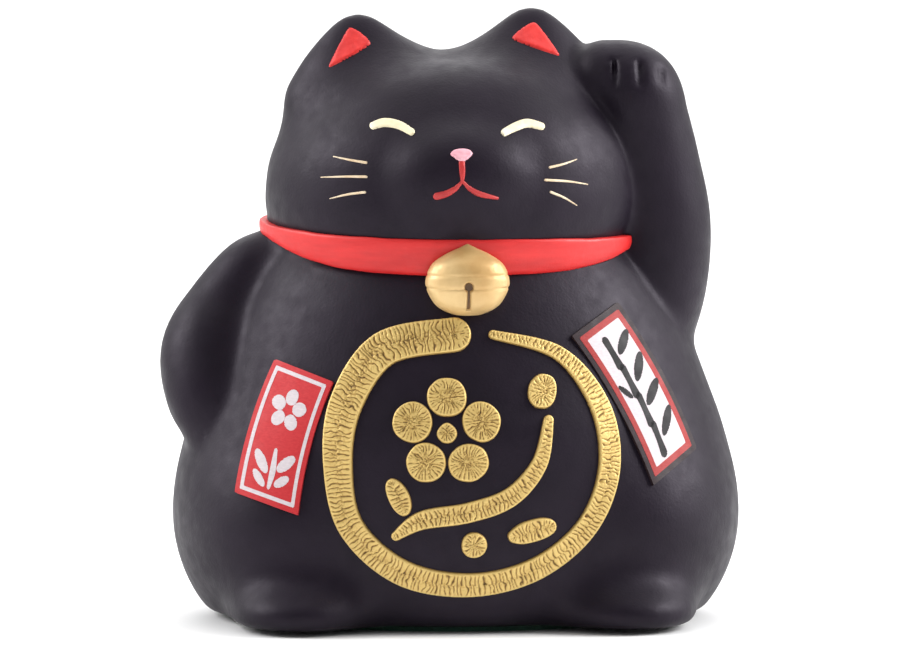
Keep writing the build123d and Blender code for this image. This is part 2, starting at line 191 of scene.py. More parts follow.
def limb(grid, stations):
    """Chain of balls along a smooth line, worked out only near it."""
    x, y, z = grid
    balls = smooth_line(stations, 8)
    reach = 16
    low = (balls[:, :3] - balls[:, 3:]).min(0) - reach
    high = (balls[:, :3] + balls[:, 3:]).max(0) + reach
    a = np.maximum(((low - GRID_LOW) / GRID_STEP).astype(int), 0)
    b = ((high - GRID_LOW) / GRID_STEP).astype(int) + 1
    near = tuple(slice(i, j) for i, j in zip(a, b))
    out = np.full(x.shape, float(reach))
    nx, ny, nz = x[near], y[near], z[near]
    d = np.full(nx.shape, float(reach))
    for cx, cy, cz, r in balls:
        d = np.minimum(d, np.sqrt((nx - cx) ** 2 + (ny - cy) ** 2 + (nz - cz) ** 2) - r)
    out[near] = d
    return out


def groove(grid, a, b, radius):
    x, y, z = grid
    a, run = np.array(a, float), np.array(b, float) - np.array(a, float)
    t = np.clip(((x - a[0]) * run[0] + (y - a[1]) * run[1] + (z - a[2]) * run[2]) / (run @ run), 0, 1)
    return np.sqrt((x - a[0] - t * run[0]) ** 2 + (y - a[1] - t * run[1]) ** 2
                   + (z - a[2] - t * run[2]) ** 2) - radius


class Field:
    """A form sampled on a grid, with interpolated values, normals and surface hits."""

    def __init__(self, values, low, step):
        self.values, self.low, self.step = values, low, step
        self.top = np.array(values.shape) - 1.001

    def __call__(self, p):
        q = np.clip((p - self.low) / self.step, 0, self.top)
        i = q.astype(int)
        u = q - i
        v = self.values
        total = 0
        for dx in (0, 1):
            wx = u[:, 0] if dx else 1 - u[:, 0]
            for dy in (0, 1):
                wy = u[:, 1] if dy else 1 - u[:, 1]
                for dz in (0, 1):
                    wz = u[:, 2] if dz else 1 - u[:, 2]
                    total = total + wx * wy * wz * v[i[:, 0] + dx, i[:, 1] + dy, i[:, 2] + dz]
        return total

    def gradient(self, p):
        e = self.step * 0.7
        g = np.zeros_like(p)
        for k in range(3):
            shift = np.zeros(3)
            shift[k] = e
            g[:, k] = (self(p + shift) - self(p - shift)) / (2 * e)
        return g

    def normal(self, p):
        g = self.gradient(p)
        return g / np.maximum(np.linalg.norm(g, axis=1, keepdims=True), 1e-9)

    def settle(self, p, rounds=3):
        """Moves points onto the surface."""
        for _ in range(rounds):
            g = self.gradient(p)
            p = p - self(p)[:, None] * g / np.maximum((g ** 2).sum(1), 0.1)[:, None]
        return p

    def hit(self, p, direction, steps=60, care=0.85):
        """Distance from points to the surface along a direction."""
        travelled = np.zeros(len(p))
        for _ in range(steps):
            travelled += self(p + travelled[:, None] * direction) * care
        return travelled


def surface(field):
    """Vertices and quads of the field's surface, one vertex in each cell that it crosses."""
    f = field.values
    cells = np.array(f.shape) - 1
    quads, ids, spots = [], [], []
    for axis in range(3):
        u, v = (axis + 1) % 3, (axis + 2) % 3
        here, there = [slice(None)] * 3, [slice(None)] * 3
        here[axis], there[axis] = slice(0, -1), slice(1, None)
        a, b = f[tuple(here)], f[tuple(there)]
        edge = np.argwhere((a < 0) != (b < 0))
        keep = (edge[:, u] > 0) & (edge[:, v] > 0) & (edge[:, u] < cells[u]) & (edge[:, v] < cells[v])
        edge = edge[keep]
        fa, fb = a[tuple(edge.T)], b[tuple(edge.T)]
        spot = edge.astype(float)
        spot[:, axis] += fa / (fa - fb)
        around = []
        for du, dv in ((0, 0), (-1, 0), (-1, -1), (0, -1)):
            cell = edge.copy()
            cell[:, u] += du
            cell[:, v] += dv
            around.append(np.ravel_multi_index(cell.T, cells))
            ids.append(around[-1])
            spots.append(spot)
        quad = np.stack(around, 1)
        quad[fa > 0] = quad[fa > 0][:, ::-1]
        quads.append(quad)
    ids, spots, quads = np.concatenate(ids), np.concatenate(spots), np.concatenate(quads)
    known, which = np.unique(ids, return_inverse=True)
    count = np.bincount(which)
    points = np.stack([np.bincount(which, spots[:, k]) / count for k in range(3)], 1)
    return field.settle(field.low + points * field.step), np.searchsorted(known, quads)


def casting_field():
    """(outside form only, finished casting with its hollow, hole and slot)."""
    axes = [np.arange(GRID_LOW[k], GRID_HIGH[k], GRID_STEP) for k in range(3)]
    grid = np.meshgrid(*axes, indexing="ij")
    x, y, z = grid
    dz = z - NECK_Z
    hx = x * math.cos(HEAD_ROLL) - dz * math.sin(HEAD_ROLL)
    hz = x * math.sin(HEAD_ROLL) + dz * math.cos(HEAD_ROLL) + NECK_Z
    body = true_distance(Profile(BODY_PROFILE)(np.hypot(x, y / BODY_DEPTH_RATIO), z), GRID_STEP)
    head = true_distance(Profile(HEAD_PROFILE)(np.hypot(hx, (y - HEAD_Y) / HEAD_DEPTH_RATIO), hz), GRID_STEP)
    inner = union(body + WALL, head + WALL, BLEND_CAVITY)
    ear = Profile(EAR_PROFILE)
    for side in (-1, 1):
        one = ear(np.hypot(hx - EAR_X[side], (y - EAR_Y) / EAR_DEPTH_RATIO), hz)
        head = union(head, true_distance(one, GRID_STEP), BLEND_EAR)
    head = union(head, ellipsoid(hx, y, hz, MUZZLE), BLEND_MUZZLE)
    torso = body
    for side in (-1, 1):
        torso = union(torso, ellipsoid(x, y, z, HAUNCH, side), BLEND_HAUNCH)
    for side in (-1, 1):
        torso = union(torso, ellipsoid(x, y, z, FOOT, side), BLEND_FOOT)
    f = union(torso, head, BLEND_NECK)
    f = union(f, limb(grid, RAISED_ARM), BLEND_RAISED)
    f = union(f, limb(grid, LOWERED_ARM), BLEND_LOWERED)
    f = union(f, limb(grid, TAIL), BLEND_TAIL)
    for a, b, radius in GROOVES:
        f = cut(f, groove(grid, a, b, radius), GROOVE_EDGE)
    felt_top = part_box("base_felt")[1][2] / MM
    f = -union(-f, z - felt_top, BASE_ROUND)
    outside = Field(f, GRID_LOW, GRID_STEP)
    inner = np.maximum(inner, CAVITY_FLOOR_Z - z)
    r = np.hypot(x, y)
    recess = np.maximum(r - RECESS_R, z - felt_top - RECESS_T)
    hole = np.maximum(r - HOLE_R, z - CAVITY_FLOOR_Z - HOLE_PAST_FLOOR)
    slot = np.maximum(np.maximum(np.abs(x) - SLOT_HALF_W, np.abs(z - SLOT_Z) - SLOT_HALF_H), -y)
    for space, edge in ((inner, CRISP), (recess, CRISP), (hole, CRISP), (slot, SLOT_ROUND)):
        f = cut(f, space, edge)
    return outside, Field(f, GRID_LOW, GRID_STEP)


# ---- meshes -------------------------------------------------------------------------------------------------
def add_mesh(name, points, faces, material, node_names, smooth=True, values=None):
    """A mesh from points in millimetres that stands for CAD nodes; values become its attribute "relief"."""
    mesh = bpy.data.meshes.new(name)
    mesh.from_pydata((np.asarray(points) * MM).tolist(), [], [list(map(int, face)) for face in faces])
    mesh.update()
    if smooth:
        mesh.shade_smooth()
    if values is not None:
        relief_shading = mesh.attributes.new("relief_shading", "FLOAT", "POINT")
        relief_shading.data.foreach_set("value", np.asarray(values, np.float32))
    piece = bpy.data.objects.new(name, mesh)
    bpy.context.scene.collection.objects.link(piece)
    mesh.materials.append(material)
    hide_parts(*node_names)
    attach(piece, FIGURINE)


def noise(x, y, seed=0):
    """Smooth value noise from -1 to 1, with one lump to each unit."""
    table = np.random.RandomState(seed).rand(64, 64) * 2 - 1
    i, j = np.floor(x).astype(int), np.floor(y).astype(int)
    u, v = x - i, y - j
    u, v = u * u * (3 - 2 * u), v * v * (3 - 2 * v)
    a, b = table[i % 64, j % 64], table[(i + 1) % 64, j % 64]
    c, d = table[i % 64, (j + 1) % 64], table[(i + 1) % 64, (j + 1) % 64]
    return (a * (1 - u) + b * u) * (1 - v) + (c * (1 - u) + d * u) * v


def stroke_outline(points, half_widths, per=10):
    """Closed outline of a brush stroke with round ends."""
    line = smooth_line([(*p, w) for p, w in zip(points, half_widths)], per)
    centre, width = line[:, :2], line[:, 2]
    run = np.gradient(centre, axis=0)
    run /= np.linalg.norm(run, axis=1, keepdims=True)
    across = np.stack([-run[:, 1], run[:, 0]], 1)
    left, right = centre + across * width[:, None], centre - across * width[:, None]
    turn = np.linspace(0, math.pi, 14)[1:-1, None]
    end = centre[-1] + width[-1] * (across[-1] * np.cos(turn) + run[-1] * np.sin(turn))
    start = centre[0] - width[0] * (across[0] * np.cos(turn) + run[0] * np.sin(turn))
    return np.concatenate([left, end, right[::-1], start])


def blob_outline(centre, radii, turn=0.0, wobble=0.0, seed=0):
    """Closed outline of an ellipse, a little uneven if wobble is given."""
    a = np.linspace(0, 2 * math.pi, 72, endpoint=False)
    k = 1 + wobble * noise(np.cos(a) * 1.5 + 9, np.sin(a) * 1.5 + 9, seed)
    p = np.stack([radii[0] * np.cos(a) * k, radii[1] * np.sin(a) * k], 1)
    c, s = math.cos(math.radians(turn)), math.sin(math.radians(turn))
    return np.array(centre) + p @ np.array([[c, s], [-s, c]])


LEAF_WOBBLE, PETAL_WOBBLE = 0.06, 0.05


def petal_outline(centre, angle, reach, radii, seed=0):
    a = math.radians(angle)
    middle = (centre[0] + reach * math.cos(a), centre[1] + reach * math.sin(a))
    return blob_outline(middle, radii, angle - 90, PETAL_WOBBLE, seed)


def box_outline(half_w, half_h, round_r=0.25):
    corners = []
    for sx, sy, start in ((1, 1, 0), (-1, 1, 90), (-1, -1, 180), (1, -1, 270)):
        for k in range(5):
            a = math.radians(start + k * 22.5)
            corners.append((sx * (half_w - round_r) + round_r * math.cos(a),
                            sy * (half_h - round_r) + round_r * math.sin(a)))
    return np.array(corners)


def dense(outline, spacing):
    """The closed outline with points no further apart than the spacing, and each point's place along it."""
    out = []
    for a, b in zip(outline, np.roll(outline, -1, axis=0)):
        count = max(1, int(math.ceil(np.linalg.norm(b - a) / spacing)))
        out.append(a + (b - a) * np.linspace(0, 1, count, endpoint=False)[:, None])
    out = np.concatenate(out)
    along = np.concatenate([[0], np.cumsum(np.linalg.norm(np.diff(out, axis=0), axis=1))])
    return out, along


def outline_distance(p, outline, spacing=0.3):
    """(signed distance, negative inside; place along the outline of the nearest point)."""
    ring, along = dense(outline, spacing)
    best = np.full(len(p), 1e9)
    where = np.zeros(len(p))
    inside = np.zeros(len(p), bool)
    nxt = np.roll(ring, -1, axis=0)
    for (ax, ay), (bx, by), s in zip(ring, nxt, along):
        rx, ry = bx - ax, by - ay
        size = max(rx * rx + ry * ry, 1e-12)
        t = np.clip(((p[:, 0] - ax) * rx + (p[:, 1] - ay) * ry) / size, 0, 1)
        d = (p[:, 0] - ax - t * rx) ** 2 + (p[:, 1] - ay - t * ry) ** 2
        nearer = d < best
        best = np.where(nearer, d, best)
        where = np.where(nearer, s + t * math.sqrt(size), where)
        if ay != by:
            spans = (ay > p[:, 1]) != (by > p[:, 1])
            inside ^= spans & (p[:, 0] < (bx - ax) * (p[:, 1] - ay) / (by - ay) + ax)
    return np.where(inside, -1, 1) * np.sqrt(best), where


def patch(outline, cell, hole=None):
    """Flat grid of quads inside an outline, its edge points moved onto the outline.

    Returns points, quads, distance inside the edge, and place along the outline.
    """
    low, high = outline.min(0) - 2 * cell, outline.max(0) + 2 * cell
    nx, ny = (int((high[k] - low[k]) / cell) + 2 for k in (0, 1))
    gx, gy = np.meshgrid(low[0] + cell * np.arange(nx), low[1] + cell * np.arange(ny), indexing="ij")
    p = np.stack([gx.ravel(), gy.ravel()], 1)

    def measure(q):
        d, s = outline_distance(q, outline)
        if hole is not None:
            d2, s2 = outline_distance(q, hole)
            s = np.where(-d2 > d, s2, s)
            d = np.maximum(d, -d2)
        return d, s

    d, s = measure(p)
    grid = d.reshape(nx, ny)
    slope_x, slope_y = np.gradient(grid, cell)
    slope = np.stack([slope_x.ravel(), slope_y.ravel()], 1)
    slope /= np.maximum(np.linalg.norm(slope, axis=1, keepdims=True), 0.5)
    edge = np.abs(d) < 0.55 * cell
    p[edge] -= slope[edge] * d[edge][:, None]
    used = (d < 0) | edge
    d = np.where(edge, 0, d)
    index = np.arange(nx * ny).reshape(nx, ny)
    quads = np.stack([index[:-1, :-1], index[1:, :-1], index[1:, 1:], index[:-1, 1:]], -1).reshape(-1, 4)
    quads = quads[used[quads].all(1)]
    known, quads = np.unique(quads, return_inverse=True)
    return p[known], quads.reshape(-1, 4), -d[known], s[known]


def boundary(quads):
    """Directed edges that only one quad has."""
    edges = np.concatenate([quads[:, [k, (k + 1) % 4]] for k in range(4)])
    seen = {tuple(e) for e in edges.tolist()}
    return [e for e in edges.tolist() if (e[1], e[0]) not in seen]


def slab(top, bottom, quads):
    """Closed mesh between two copies of a patch."""
    n = len(top)
    sides = [(a, n + a, n + b, b) for a, b in boundary(quads)]
    faces = quads.tolist() + (quads[:, ::-1] + n).tolist() + sides
    return np.concatenate([top, bottom]), faces


def wrapped(rows, count, closed=False):
    """Quads between rows of points that go round; closed joins the last row to the first."""
    return [(j * count + i, j * count + (i + 1) % count, (j + 1) % rows * count + (i + 1) % count,
             (j + 1) % rows * count + i)
            for j in range(rows if closed else rows - 1) for i in range(count)]


class View:
    """A flat frame in front of the casting, and the way in from it."""

    def __init__(self, origin, across, up, inward):
        self.origin, self.across = np.array(origin, float), np.array(across, float)
        self.up, self.inward = np.array(up, float), np.array(inward, float)

    def place(self, p):
        return self.origin + p[:, :1] * self.across + p[:, 1:2] * self.up


FRONT = View((0, -70, 0), (1, 0, 0), (0, 0, 1), (0, 1, 0))


def lay_on(p):
    """Surface points and outward normals where flat points seen from the front meet the casting."""
    start = FRONT.place(p)
    hit = start + outside.hit(start, FRONT.inward)[:, None] * FRONT.inward
    return hit, outside.normal(hit)


def rise(x, width):
    """Rounded step from 0 to 1 over a width."""
    t = np.clip(x / width, 0, 1)
    return np.sqrt(np.maximum(1 - (1 - t) ** 2, 0))


SINK = 0.35                  # how far the applied pieces reach into the casting
ENAMEL_EDGE = 0.5
ENAMEL_UNEVEN = 0.18


def enamel(name, outline, height, material, node, cell):
    """A brush stroke of enamel with rounded edges and a slightly uneven surface."""
    p, quads, depth, _ = patch(outline, cell)
    hit, normal = lay_on(p)
    uneven = noise(p[:, 0] * 1.1 + 20, p[:, 1] * 2.3 + 20, 5)
    lift = height * rise(depth, ENAMEL_EDGE) * (1 + ENAMEL_UNEVEN * uneven)
    points, faces = slab(hit + normal * lift[:, None], hit - normal * SINK, quads)
    add_mesh(name, points, faces, material, [node])


GOLD_T = 1.0
GOLD_CELL = 0.2
GOLD_EDGE = 0.7
RIM_W, RIM_FADE = 0.35, 0.6      # smooth rim without wrinkles, and how softly they begin
RIDGE_PITCH = 1.15
MIDDLE_START = 0.35              # share of the half width where the wrinkles start to crumble


def gold(name, outline, node, seed):
    """Gold paste: a smooth rim, then wrinkles that run in from the edge and crumble towards the middle.

    The colour attribute is high on the ridges and low in the creases and along the outline: painted highlight
    on the ridges, painted shade in the creases and at the edge.
    """
    p, quads, depth, along = patch(outline, GOLD_CELL)
    hit, normal = lay_on(p)
    width = max(depth.max(), 0.5)
    middle = np.clip((depth - MIDDLE_START * width) / ((1 - MIDDLE_START) * width), 0, 1)
    sway = (0.55 * noise(along * 0.45, depth * 0.45 + 7, seed)
            + 0.25 * noise(along * 1.3, depth * 0.9, seed + 5))
    ridge = np.abs(np.sin(math.pi * (along / RIDGE_PITCH + sway)))
    crumbs = noise(p[:, 0] * 1.9 + 40, p[:, 1] * 1.9 + 40, seed + 2)
    crease = np.clip(1 - ridge * (1.75 + 0.5 * crumbs) + 0.25 * middle * crumbs, 0, 1)
    crease = np.maximum(crease, middle * np.clip(0.75 - np.abs(crumbs) / 0.3, 0, 1))
    swell = 0.5 + 0.5 * noise(along * 0.5, depth * 0.4, seed + 3)
    inner = np.clip((depth - RIM_W) / RIM_FADE, 0, 1)
    # painted light and shade: ridges lighter, creases darker, plus some random darker patches from the swell
    relief_shading = 1 - inner * (0.75 * crease + 0.2 * swell * (0.5 + 0.5 * middle))
    lift = GOLD_T * rise(depth, GOLD_EDGE) * (1 - 0.4 * inner * crease - 0.1 * inner * swell)
    # painted shade: the colour also darkens towards the outline
    shade = relief_shading * np.clip(0.45 + depth / 0.5, 0, 1)
    points, faces = slab(hit + normal * lift[:, None], hit - normal * SINK, quads)
    add_mesh(name, points, faces, GOLD, [node], values=np.concatenate([shade, shade]))


# ---- materials ----------------------------------------------------------------------------------------------
class Paint:
    """A node material under construction."""

    def __init__(self, name, **inputs):
        self.material = bpy.data.materials.new(name)
        self.material.use_nodes = True
        self.tree = self.material.node_tree
        self.shader = self.tree.nodes["Principled BSDF"]
        for key, value in inputs.items():
            self.shader.inputs[key.replace("_", " ")].default_value = value
        self.where = self.tree.nodes.new("ShaderNodeTexCoord").outputs["Object"]

    def node(self, kind, **settings):
        made = self.tree.nodes.new(kind)
        for key, value in settings.items():
            if key in made.inputs:
                made.inputs[key].default_value = value
            else:
                setattr(made, key, value)
        return made

    def link(self, source, target):
        self.tree.links.new(source, target)

    def noise(self, scale, detail=3.0, stretch=(1, 1, 1), rough=0.5):
        place = self.node("ShaderNodeMapping")
        place.inputs["Scale"].default_value = stretch
        self.link(self.where, place.inputs["Vector"])
        made = self.node("ShaderNodeTexNoise", Scale=scale, Detail=detail, Roughness=rough)
        self.link(place.outputs["Vector"], made.inputs["Vector"])
        return made.outputs["Fac"]

    def ramp(self, source, stops):
        made = self.node("ShaderNodeValToRGB")
        parts = made.color_ramp.elements
        while len(parts) < len(stops):
            parts.new(0.5)
        for part, (place, colour) in zip(parts, stops):
            part.position = place
            part.color = (*colour, 1) if len(colour) == 3 else colour
        self.link(source, made.inputs["Fac"])
        return made.outputs["Color"]

    def spread(self, source, low, high, start=0.3, end=0.7):
        """Value between low and high as the source goes from start to end."""
        made = self.node("ShaderNodeMapRange")
        self.link(source, made.inputs["Value"])
        for key, value in zip(("From Min", "From Max", "To Min", "To Max"), (start, end, low, high)):
            made.inputs[key].default_value = value
        return made.outputs["Result"]

    def colour(self, source):
        self.link(source, self.shader.inputs["Base Color"])

    def roughness(self, source):
        self.link(source, self.shader.inputs["Roughness"])

    def bumps(self, *layers):
        """Each layer is a height and the depth in metres that it stands for."""
        last = None
        for height, depth in layers:
            made = self.node("ShaderNodeBump", Strength=1.0, Distance=depth)
            self.link(height, made.inputs["Height"])
            if last is not None:
                self.link(last, made.inputs["Normal"])
            last = made.outputs["Normal"]
        self.link(last, self.shader.inputs["Normal"])


def srgb(r, g, b):
    """Linear colour from 0 to 255 values."""
    return tuple((c / 255 / 12.92) if c < 10.3 else ((c / 255 + 0.055) / 1.055) ** 2.4 for c in (r, g, b))


def black_ceramic():
    paint = Paint("black_ceramic", Specular_IOR_Level=0.22, Specular_Tint=(1.0, 0.9, 1.06, 1.0))
    mottle = paint.noise(70, 5)
    paint.colour(paint.ramp(mottle, [(0.3, srgb(15, 9, 19)), (0.7, srgb(22, 15, 26))]))
    paint.roughness(paint.spread(paint.noise(240, 4), 0.44, 0.56))
    paint.bumps((paint.noise(1400, 3), 0.00005), (paint.noise(160, 3), 0.0001))
    return paint.material


def enamel_paint(name, deep, pale, along=(1, 1, 1), rough=(0.4, 0.55)):
    paint = Paint(name)
    streaks = paint.noise(220, 4, along)
    paint.colour(paint.ramp(streaks, [(0.3, deep), (0.72, pale)]))
    paint.roughness(paint.spread(paint.noise(500, 3), *rough))
    paint.bumps((streaks, 0.00012), (paint.noise(1500, 2), 0.00004))
    return paint.material


def gold_paint():
    paint = Paint("gold_relief", Metallic=0.35)
    relief_shading = paint.node("ShaderNodeAttribute", attribute_name="relief_shading").outputs["Fac"]
    # colour from the mesh attribute: painted shade in the creases and along the outline, painted highlight on
    # the ridges
    paint.colour(paint.ramp(relief_shading, [(0.08, srgb(52, 36, 18)), (0.38, srgb(118, 90, 44)),
                                     (0.7, srgb(190, 154, 84)), (1.0, srgb(224, 194, 120))]))
    paint.roughness(paint.spread(paint.noise(900, 3), 0.34, 0.55))
    paint.bumps((paint.noise(1900, 4), 0.00012))
    return paint.material


def bell_gold():
    paint = Paint("bell_gold", Metallic=0.25)
    soft = paint.noise(110, 5)
    paint.colour(paint.ramp(soft, [(0.3, srgb(196, 156, 98)), (0.7, srgb(224, 192, 136))]))
    paint.roughness(paint.spread(paint.noise(420, 3), 0.34, 0.5))
    paint.bumps((paint.noise(1100, 4), 0.00006), (soft, 0.0003))
    return paint.material


def card_paint(name, deep, pale, rough=(0.5, 0.65)):
    paint = Paint(name, Specular_IOR_Level=0.28)
    fibre = paint.noise(900, 5, (1, 1, 3))
    paint.colour(paint.ramp(fibre, [(0.25, deep), (0.75, pale)]))
    paint.roughness(paint.spread(paint.noise(300, 3), *rough))
    paint.bumps((fibre, 0.00005))
    return paint.material


def felt_paint():
    paint = Paint("green_felt", Roughness=0.95, Sheen_Weight=0.4)
    fuzz = paint.noise(1800, 6, rough=0.7)
    paint.colour(paint.ramp(fuzz, [(0.3, srgb(8, 44, 32)), (0.7, srgb(26, 84, 62))]))
    paint.bumps((fuzz, 0.0006))
    return paint.material


def rubber_paint():
    paint = Paint("stopper_rubber")
    grain = paint.noise(700, 4)
    paint.colour(paint.ramp(grain, [(0.3, srgb(48, 46, 45)), (0.7, srgb(66, 63, 61))]))
    paint.roughness(paint.spread(grain, 0.6, 0.8))
    paint.bumps((grain, 0.0001))
    return paint.material


def floor_paint():
    paint = Paint("floor", Specular_IOR_Level=0.25)
    soft = paint.noise(3, 2)
    paint.colour(paint.ramp(soft, [(0.3, (0.93, 0.93, 0.93)), (0.7, (0.95, 0.95, 0.95))]))
    paint.roughness(paint.spread(soft, 0.5, 0.6))
    return paint.material


RED = enamel_paint("red_enamel", srgb(198, 24, 25), srgb(220, 38, 37), (0.35, 0.35, 2.2))
LINING_RED = enamel_paint("lining_red", srgb(204, 28, 26), srgb(228, 46, 40), (2, 1, 0.6))
MOUTH_RED = enamel_paint("mouth_red", srgb(176, 36, 38), srgb(200, 56, 54))
PINK = enamel_paint("nose_pink", srgb(236, 160, 176), srgb(246, 190, 200))
CREAM = enamel_paint("cream_enamel", srgb(236, 222, 180), srgb(250, 242, 214))
BUFF = enamel_paint("whisker_buff", srgb(214, 186, 150), srgb(240, 222, 192))
# dark brown fill for the bottom of the bell's slit and its round eye
SLIT_FILL = enamel_paint("dark_enamel", srgb(84, 58, 30), srgb(126, 92, 52))
GOLD = gold_paint()
BELL = bell_gold()
CARD_RED = card_paint("card_red", srgb(180, 36, 42), srgb(196, 50, 54))
CARD_BLACK = card_paint("card_black", srgb(34, 23, 27), srgb(52, 38, 42))
PRINT_WHITE = card_paint("print_white", srgb(196, 186, 190), srgb(214, 204, 208))
PRINT_RED = card_paint("print_red", srgb(148, 42, 42), srgb(166, 56, 54))
INK = card_paint("black_ink", srgb(12, 9, 12), srgb(26, 22, 26))


# ---- the casting --------------------------------------------------------------------------------------------
outside, casting = casting_field()
points, quads = surface(casting)
add_mesh("casting", points, quads, black_ceramic(), ["ceramic_shell"])


# ---- enamel on the face -------------------------------------------------------------------------------------
EYES = {"left": [(-23.5, 131.6), (-20.6, 132.5), (-17, 132), (-13.9, 130.4)],
        "right": [(10.3, 130.2), (13.3, 131.5), (16.6, 132.3), (20.3, 131.4)]}
EYE_HALF_WIDTHS = [0.95, 1.1, 1.1, 0.95]
NOSE = [(-4.2, 125.1), (-3.3, 126.1), (-1.3, 126.5), (0.7, 126.2), (1.6, 125.1), (0.4, 123.9), (-1.2, 123.1),
        (-2.9, 123.9)]
MOUTH_STEM = [(-1.3, 122.9), (-1.2, 120.5), (-1.2, 117.9)]
MOUTH_WINGS = {"left": ([(-7.8, 114.2), (-5.4, 114.9), (-3.1, 116.2), (-1.3, 118.1)], [0.95, 0.9, 0.7, 0.4]),
               "right": ([(-1.1, 118.1), (0.8, 116.2), (3.6, 114.7), (8, 113.6)], [0.4, 0.65, 0.75, 0.4])}
WHISKERS = {"left": [[(-25.6, 122.3), (-29.5, 122.8), (-33.8, 123.5)],
                     [(-25.6, 118.7), (-31, 118.5), (-37, 118)],
                     [(-26, 114.7), (-30.5, 113.9), (-34.8, 112.6)]],
            "right": [[(22.2, 121), (26, 121.7), (29.6, 122.7)],
                      [(20.9, 117.8), (27, 117.2), (32.5, 116.1)],
                      [(22.4, 114.6), (26, 113), (29.5, 110.8)]]}
EAR_LININGS = {"left": [(-28.2, 156.2), (-22.2, 151.7), (-34.5, 145)],
               "right": [(20.4, 157.4), (13.6, 152.8), (27.2, 148)]}
STEM_HALF_WIDTHS = [0.8, 0.75, 0.4]
WHISKER_HALF_WIDTHS = [0.34, 0.28, 0.13]
ENAMEL_T, NOSE_T, STEM_T, WING_T, WHISKER_T = 0.4, 0.5, 0.32, 0.36, 0.2
LINING_CELL, FACE_CELL, MOUTH_CELL, WHISKER_CELL = 0.4, 0.28, 0.25, 0.2


def rounded_triangle(corners, radius=1.6):
    """Outline with rounded corners and slightly bowed sides."""
    c = np.array(corners, float)
    middle = c.mean(0)
    out = []
    for k in range(3):
        here, before, after = c[k], c[k - 1], c[(k + 1) % 3]
        to_before = (before - here) / np.linalg.norm(before - here)
        to_after = (after - here) / np.linalg.norm(after - here)
        rounded = here + (to_before + to_after) * radius * 0.28
        out += [here + to_before * radius, rounded, here + to_after * radius]
        mid = (here + after) / 2
        out.append(mid + (mid - middle) * 0.05)
    return smooth_line(out, 6, closed=True)


for side, corners in EAR_LININGS.items():
    enamel(f"lining_{side}", rounded_triangle(corners), ENAMEL_T, LINING_RED, f"ear_lining_{side}", LINING_CELL)
for side, line in EYES.items():
    outline = stroke_outline(line, EYE_HALF_WIDTHS)
    enamel(f"closed_eye_{side}", outline, ENAMEL_T, CREAM, f"eye_{side}", FACE_CELL)
enamel("nose_tip", smooth_line(NOSE, 6, closed=True), NOSE_T, PINK, "nose", FACE_CELL)
enamel("mouth_stem", stroke_outline(MOUTH_STEM, STEM_HALF_WIDTHS), STEM_T, MOUTH_RED, "mouth", MOUTH_CELL)
for side, (line, half_widths) in MOUTH_WINGS.items():
    enamel(f"mouth_{side}", stroke_outline(line, half_widths), WING_T, MOUTH_RED, "mouth", MOUTH_CELL)
for side, lines in WHISKERS.items():
    for i, line in enumerate(lines, 1):
        outline = stroke_outline(line, WHISKER_HALF_WIDTHS)
        enamel(f"whisker_stroke_{side}_{i}", outline, WHISKER_T, BUFF, f"whisker_{side}_{i}", WHISKER_CELL)


# ---- gold ring and sprig ------------------------------------------------------------------------------------
RING_CENTRE = (1.2, 45.9)
RING_RADII = (35.8, 32.3)
RING_START, RING_SWEEP = 97.0, 344.0
RING_WANDER = [0.1, 2.7, 0.3, -1.0, 1.1, 1.3, 0.2, -0.2, 0, 0.2, 0.8, 1.7, 0.2]    # of the hand, outwards
RING_HALF_WIDTHS = [4.4, 4.4, 4.2, 3.8, 3.5, 3.5, 3.2, 3.1, 3.0, 3.0, 2.7, 1.9, 1.2]
BLOSSOM = (-5.5, 53)
PETAL_REACH, PETAL_RADII = 9.3, (5.3, 5.1)
BLOSSOM_HEART_R = 2.7
BRANCH = [(-18.7, 26.3), (-12, 30.5), (0, 32.5), (11, 36.5), (18.5, 45), (21, 56)]
BRANCH_HALF_WIDTHS = [1.3, 2.5, 2.7, 2.6, 2.2, 1.4]
LEAVES = [((16.5, 27.5), (6.8, 3.1), 14), ((-18, 36.5), (2.8, 5.2), 24)]
BUDS = [((19.5, 63.5), (3.9, 4.6), -10), ((1.5, 24), (3.4, 3.4), 0)]

turns = [math.radians(RING_START + RING_SWEEP * i / (len(RING_HALF_WIDTHS) - 1))
         for i in range(len(RING_HALF_WIDTHS))]
ring = [(RING_CENTRE[0] + (RING_RADII[0] + out) * math.cos(a),
         RING_CENTRE[1] + (RING_RADII[1] + out) * math.sin(a)) for a, out in zip(turns, RING_WANDER)]
gold("brush_ring", stroke_outline(ring, RING_HALF_WIDTHS, 14), "ring_stroke", 11)
for i in range(5):
    outline = petal_outline(BLOSSOM, 90 + 72 * i, PETAL_REACH, PETAL_RADII, i)
    gold(f"petal_{i + 1}", outline, f"sprig_petal_{i + 1}", 20 + i)
gold("blossom_heart", blob_outline(BLOSSOM, (BLOSSOM_HEART_R,) * 2, 0, LEAF_WOBBLE, 8), "sprig_heart", 30)
gold("branch", stroke_outline(BRANCH, BRANCH_HALF_WIDTHS), "sprig_branch", 31)
for i, leaf in enumerate(LEAVES):
    gold(f"leaf_{i + 1}", blob_outline(*leaf, LEAF_WOBBLE, i), f"sprig_leaf_{i + 1}", 32 + i)
for i, bud in enumerate(BUDS):
    gold(f"bud_{i + 1}", blob_outline(*bud, PETAL_WOBBLE, i), f"sprig_bud_{i + 1}", 36 + i)


